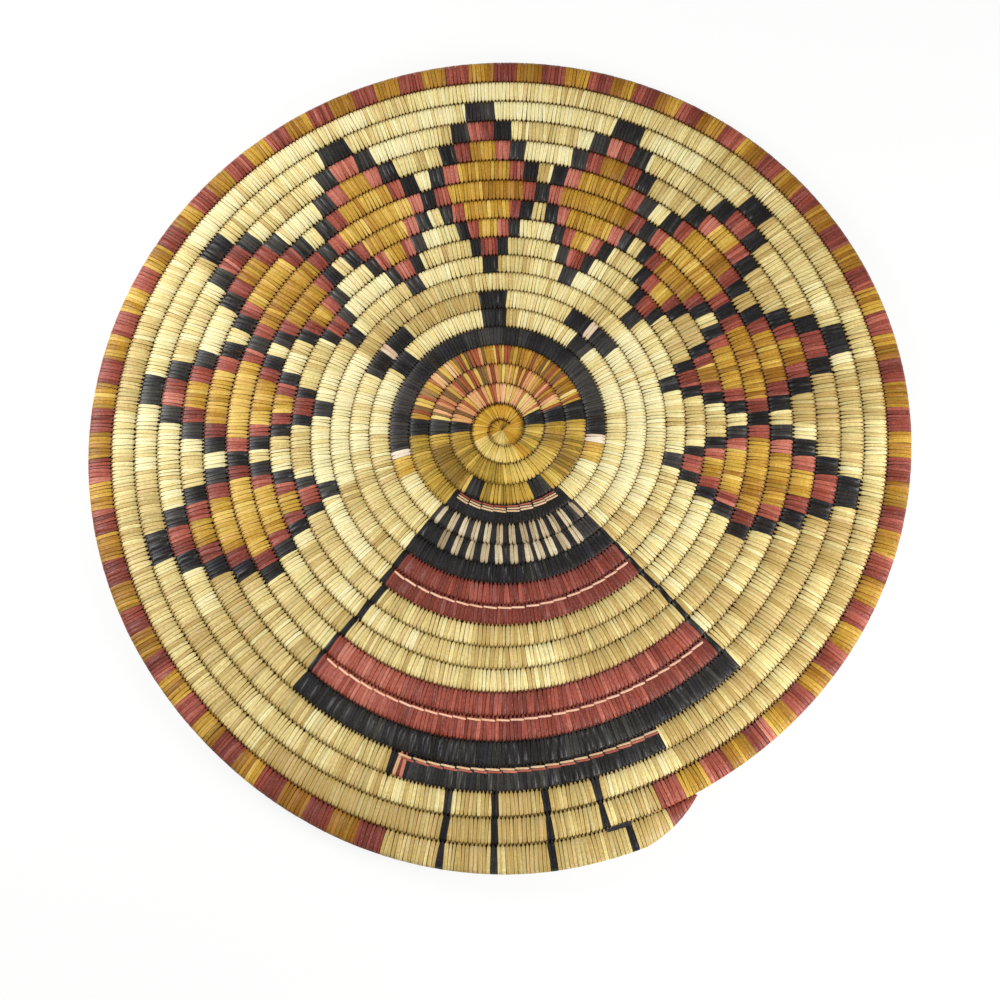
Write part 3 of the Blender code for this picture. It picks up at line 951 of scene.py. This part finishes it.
strand = {
    # one visible stretch of a laid strip
    "thickness": 0.0005,
    "length": 0.0071,
    "gap": 0.00028,                 # where a stitch of the row holds it down
    "lean": 0.00024,                # how far one end steps over the next
    "leanSpread": (0.8, 1.25),
    "lengthJitter": 0.04,
    "dip": 0.00022,                 # of its ends
    "rise": 0.00008,
    "proud": 0.00016,
    "tone": 0.62,
    "toneSpread": 0.22,
    "cuts": (-0.75, -0.3, 0.3, 0.75),
    "back": (1, 0.72, 0.6),         # the rounded back, and the thinned ends
    "ends": (1, 0.78, 0.5),
    "map": (0.3, 3.5),              # half its reach on the UV map, across and along
}
strips = (
    # node, row, lines by their distance from the row's inner edge, width, from, to, dye, slot
    ("neck_strip_red", 3, (0.0006,), 0.000928, 237.4, 308.2, "red", "red_splint"),
    ("neck_strip_cream", 3, (0.0019, 0.0032), 0.000928, 237.4, 308.2, "buff", "cream_splint"),
    ("cape_strip_cream", 8, (0.0013,), 0.00116, 233.7, 311.7, "salmon", "cream_splint"),
    ("robe_strip_cream", 13, (0.0013,), 0.00116, 233.7, 311.7, "salmon", "cream_splint"),
    ("hem_strip_cream", 15, (0.00068,), 0.00116, 252.8, 296.1, "buff", "cream_splint"),
    ("hem_strip_red", 15, (0.00192,), 0.00116, 253.4, 296.1, "red", "red_splint"),
)


def modelStrand():
    # 2 units long, wide and thick
    bpy.ops.object.select_all(action="DESELECT")
    bpy.ops.mesh.primitive_cube_add(size=2, location=(0, 0, 0))
    piece = bpy.context.active_object
    bpy.ops.object.mode_set(mode="EDIT")
    mesh = bmesh.from_edit_mesh(piece.data)
    for place in strand["cuts"]:
        bpy.ops.mesh.select_all(action="SELECT")
        bpy.ops.mesh.bisect(plane_co=(place, 0, 0), plane_no=(1, 0, 0))
    bpy.ops.mesh.select_all(action="SELECT")
    bpy.ops.mesh.bisect(plane_co=(0, 0, 0), plane_no=(0, 1, 0))
    select(mesh, lambda vertex: vertex.co.z > 0.5 and abs(vertex.co.y) > 0.5)
    bpy.ops.transform.resize(value=strand["back"], center_override=(0, 0, 0))
    select(mesh, lambda vertex: abs(vertex.co.x) > 0.9)
    bpy.ops.transform.resize(value=strand["ends"], center_override=(0, 0, 0))
    return takeShape(piece)


strandPlaces, strandFaces = modelStrand()


def surfaceHeight(share):
    # how high a row's wrapped surface stands, in shares of its half height
    path = hoopShape["path"][2:9]
    return np.interp(share, [row[0] for row in path], [row[2] for row in path])


def strandMesh(name, start, end, lines, width, dye, count):
    # lays stretches end to end along the coil, on the inner slope of a row
    rng = random.Random(name)
    step = (end - start) / count
    radius = float(coilSection((start + end) / 2)[0])
    half = step / 2 * (1 - strand["gap"] / (step * 2 * math.pi * radius))
    x, y, z = strandPlaces.T
    places, faces, seeds, tones = [], [], [], []
    for aside, index in [(aside, index) for aside in lines for index in range(count)]:
        shift = rng.uniform(-1, 1) * (0 if index in (0, count - 1) else strand["lengthJitter"])
        turn = start + step * (index + 0.5 + shift) + x * half
        _, halfWidth, halfHeight, _ = coilSection(turn)
        lean = strand["lean"] * (0 if count == 1 else rng.uniform(*strand["leanSpread"]))
        outward = -halfWidth + aside + y * width / 2 + x * lean
        up = halfHeight * surfaceHeight(outward / halfWidth) + z * strand["thickness"] / 2
        up = up + strand["proud"] - strand["dip"] * np.abs(x) ** 4 + x * strand["rise"]
        faces += [[vertex + len(places) * len(x) for vertex in face] for face in strandFaces]
        places.append(onCoil(turn, outward, up))
        seeds += [rng.random()] * len(x)
        tones += [strand["tone"] + rng.uniform(-1, 1) * strand["toneSpread"]] * len(x)
    mesh = bpy.data.meshes.new(name)
    mesh.from_pydata(np.concatenate(places).tolist(), [], faces)
    mesh.materials.append(splintMaterials[dye])
    layValues(mesh, len(seeds), tone=tones, stitchSeed=seeds, valley=0.0)
    wide, long = strand["map"]
    layMap(mesh, np.tile(np.column_stack([y * wide + 0.5, x * long]), (len(places), 1)))
    return mesh


def layStrip(name, row, lines, width, fromBearing, toBearing, dye, slotName):
    start, end = turnAt(row, fromBearing), turnAt(row, toBearing)
    radius = float(coilSection((start + end) / 2)[0])
    count = round((end - start) * 2 * math.pi * radius / strand["length"])
    mesh = strandMesh(name, start, end, lines, width, dye, count)
    finishPiece(addObject(name, mesh), name)


jog = {
    # the rightmost leg's line steps sideways between rows 17 and 18
    "from": 283.6,
    "to": 287.35,
    "width": 0.0021,
}


def layJog():
    tail = bpy.data.objects["rim_natural_tail_look"]
    ends = turnAt(18, jog["from"]), turnAt(18, jog["to"])
    addObject("jog", strandMesh("jog", *ends, [0.0], jog["width"], "black", 1))
    tail.select_set(True)
    bpy.context.view_layer.objects.active = tail
    bpy.ops.object.join()


for strip in strips:
    layStrip(*strip)
layJog()
print("laid strips:", sum(len(strip[2]) for strip in strips))


view = {
    "tilt": 15.94,                  # degrees: towards the foot of the figure, and to its right
    "lean": 2.03,
    "distance": 0.7985,
    "aimHeight": 0.0065,            # the valleys between rows lie about here
    "frame": 1000,                  # pixels
    "focal": 1596.2,
    "eyePixel": (502.46, 428.57),   # where the coil's eye shows
    "sensor": 36,
}


def placeCamera():
    tilt, lean = math.radians(view["tilt"]), math.radians(view["lean"])
    back = Vector((math.sin(lean), -math.sin(tilt) * math.cos(lean), math.cos(tilt) * math.cos(lean)))
    right = Vector((0, 1, 0)).cross(back).normalized()
    up = back.cross(right)
    data = bpy.data.cameras.new("camera")
    data.sensor_width = view["sensor"]
    data.lens = view["sensor"] * view["focal"] / view["frame"]
    data.shift_x = 0.5 - view["eyePixel"][0] / view["frame"]
    data.shift_y = view["eyePixel"][1] / view["frame"] - 0.5
    camera = addObject("camera", data)
    target = Vector((*spiral["eye"], view["aimHeight"]))
    turned = Matrix((right, up, back)).transposed().to_4x4()
    camera.matrix_world = Matrix.Translation(target + back * view["distance"]) @ turned
    bpy.context.scene.camera = camera


ground = {
    "size": 12,
    "height": -0.0004,
    "colour": (0.9, 0.9, 0.9, 1),
    "roughness": 0.9,
    "specular": 0.1,
    "glow": 0.86,                   # share of plain white that the camera and reflections see
}


def paintFloor(floor):
    g = Graph("paleFloor")
    seen = g.tree.nodes.new("ShaderNodeLightPath")
    straight, glossy = (Wire(g, seen.outputs[ray]) for ray in ("Is Camera Ray", "Is Glossy Ray"))
    glow = g.tree.nodes.new("ShaderNodeEmission")
    glow.inputs["Color"].default_value = (1, 1, 1, 1)
    for name, value in (("Base Color", ground["colour"]), ("Roughness", ground["roughness"]),
                        ("Specular IOR Level", ground["specular"])):
        g.shader.inputs[name].default_value = value
    mixer = g.tree.nodes.new("ShaderNodeMixShader")
    g.feed(mixer.inputs[0], straight.maths("MAXIMUM", straight, glossy) * ground["glow"])
    g.feed(mixer.inputs[1], Wire(g, g.shader.outputs[0]))
    g.feed(mixer.inputs[2], Wire(g, glow.outputs[0]))
    g.feed(g.tree.nodes["Material Output"].inputs["Surface"], Wire(g, mixer.outputs[0]))
    floor.data.materials.append(g.material)


def layFloor():
    bpy.ops.object.select_all(action="DESELECT")
    bpy.ops.mesh.primitive_plane_add(size=ground["size"], location=(0, 0, ground["height"]))
    floor = bpy.context.active_object
    floor.name = "floor"
    paintFloor(floor)


lamps = {
    # place, width, watts
    "right": ((0.56, -0.33, 0.36), 0.32, 5.6),
    "left": ((-0.52, 0.2, 0.36), 0.3, 3.7),
}
sky = {"colour": (1.0, 0.975, 0.93, 1), "strength": 0.33}


def lightScene():
    for name, (place, width, power) in lamps.items():
        data = bpy.data.lights.new(name, "AREA")
        data.size, data.energy = width, power
        lamp = addObject(name, data)
        lamp.location = place
        lamp.rotation_euler = (-Vector(place)).to_track_quat("-Z", "Y").to_euler()
    world = bpy.context.scene.world or bpy.data.worlds.new("World")
    bpy.context.scene.world = world
    world.use_nodes = True
    background = world.node_tree.nodes["Background"]
    background.inputs["Color"].default_value = sky["colour"]
    background.inputs["Strength"].default_value = sky["strength"]
    bpy.context.scene.view_settings.view_transform = "Standard"


placeCamera()
layFloor()
lightScene()
